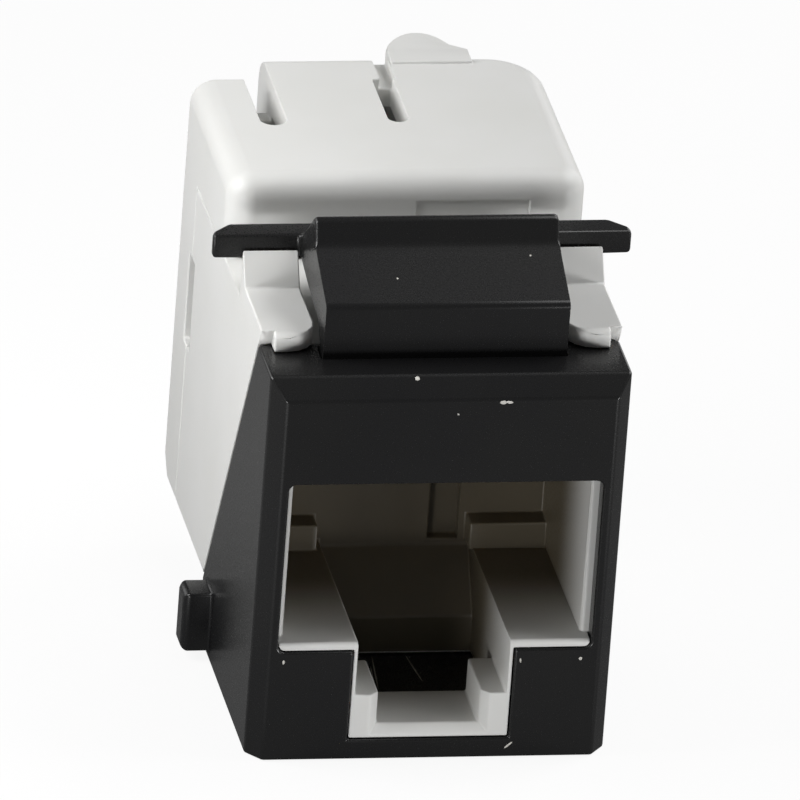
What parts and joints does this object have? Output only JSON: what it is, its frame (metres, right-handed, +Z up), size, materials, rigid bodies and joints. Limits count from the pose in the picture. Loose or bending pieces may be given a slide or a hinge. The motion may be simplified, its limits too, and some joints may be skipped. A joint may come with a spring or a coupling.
{
  "type": "keystone jack",
  "caption": "Snap-in modular socket: framed plug opening with a notch, sprung top latch, pale body, contacts, terminals and a pull-off wire cap.",
  "frame": {"origin": "middle of the bounding box at the base of the frame", "axes": "+Y from the plug opening to the wire end, +Z up to the latch, +X across to the right seen from the front"},
  "size_m": [0.0168, 0.025, 0.021],
  "materials": {
    "black_moulding": "semi-gloss moulded black plastic",
    "pale_moulding": "satin moulded pale grey plastic",
    "carrier_moulding": "matt moulded dark plastic",
    "board_laminate": "solder-masked laminate",
    "contact_gold": "gold-plated spring bronze",
    "blade_tin": "tin-plated bronze"
  },
  "bodies": {
    "jack_body": {"keystone_frame": "black_moulding", "jack_housing": "pale_moulding", "contact_carrier": "carrier_moulding", "circuit_board": "board_laminate", "terminal_block": "pale_moulding", "idc_blade_1": "blade_tin", "idc_blade_2": "blade_tin", "idc_blade_3": "blade_tin", "idc_blade_4": "blade_tin", "idc_blade_5": "blade_tin", "idc_blade_6": "blade_tin", "idc_blade_7": "blade_tin", "idc_blade_8": "blade_tin"},
    "latch": {"release_latch": "black_moulding"},
    "cap": {"wire_cap": "pale_moulding"},
    "contact_1": {"contact_wire_1": "contact_gold"},
    "contact_2": {"contact_wire_2": "contact_gold"},
    "contact_3": {"contact_wire_3": "contact_gold"},
    "contact_4": {"contact_wire_4": "contact_gold"},
    "contact_5": {"contact_wire_5": "contact_gold"},
    "contact_6": {"contact_wire_6": "contact_gold"},
    "contact_7": {"contact_wire_7": "contact_gold"},
    "contact_8": {"contact_wire_8": "contact_gold"}
  },
  "joints": [
    {"name": "latch_press", "type": "hinge", "parent": "jack_body", "child": "latch", "pos_m": [0, -0.0097, 0.0164], "axis": [-1, 0, 0], "range_deg": [0, 9], "stiffness_Nm_per_rad": 0.3},
    {"name": "cap_pull", "type": "slide", "parent": "jack_body", "child": "cap", "axis": [0, 1, 0], "range_m": [0, 0.012]},
    {"name": "contact_flex_1", "type": "hinge", "parent": "jack_body", "child": "contact_1", "pos_m": [-0.00357, 0.0011, 0.0092], "axis": [-1, 0, 0], "range_deg": [0, 7], "stiffness_Nm_per_rad": 0.05},
    {"name": "contact_flex_2", "type": "hinge", "parent": "jack_body", "child": "contact_2", "pos_m": [-0.00255, 0.0011, 0.0092], "axis": [-1, 0, 0], "range_deg": [0, 7], "stiffness_Nm_per_rad": 0.05},
    {"name": "contact_flex_3", "type": "hinge", "parent": "jack_body", "child": "contact_3", "pos_m": [-0.00153, 0.0011, 0.0092], "axis": [-1, 0, 0], "range_deg": [0, 7], "stiffness_Nm_per_rad": 0.05},
    {"name": "contact_flex_4", "type": "hinge", "parent": "jack_body", "child": "contact_4", "pos_m": [-0.00051, 0.0011, 0.0092], "axis": [-1, 0, 0], "range_deg": [0, 7], "stiffness_Nm_per_rad": 0.05},
    {"name": "contact_flex_5", "type": "hinge", "parent": "jack_body", "child": "contact_5", "pos_m": [0.00051, 0.0011, 0.0092], "axis": [-1, 0, 0], "range_deg": [0, 7], "stiffness_Nm_per_rad": 0.05},
    {"name": "contact_flex_6", "type": "hinge", "parent": "jack_body", "child": "contact_6", "pos_m": [0.00153, 0.0011, 0.0092], "axis": [-1, 0, 0], "range_deg": [0, 7], "stiffness_Nm_per_rad": 0.05},
    {"name": "contact_flex_7", "type": "hinge", "parent": "jack_body", "child": "contact_7", "pos_m": [0.00255, 0.0011, 0.0092], "axis": [-1, 0, 0], "range_deg": [0, 7], "stiffness_Nm_per_rad": 0.05},
    {"name": "contact_flex_8", "type": "hinge", "parent": "jack_body", "child": "contact_8", "pos_m": [0.00357, 0.0011, 0.0092], "axis": [-1, 0, 0], "range_deg": [0, 7], "stiffness_Nm_per_rad": 0.05}
  ]
}
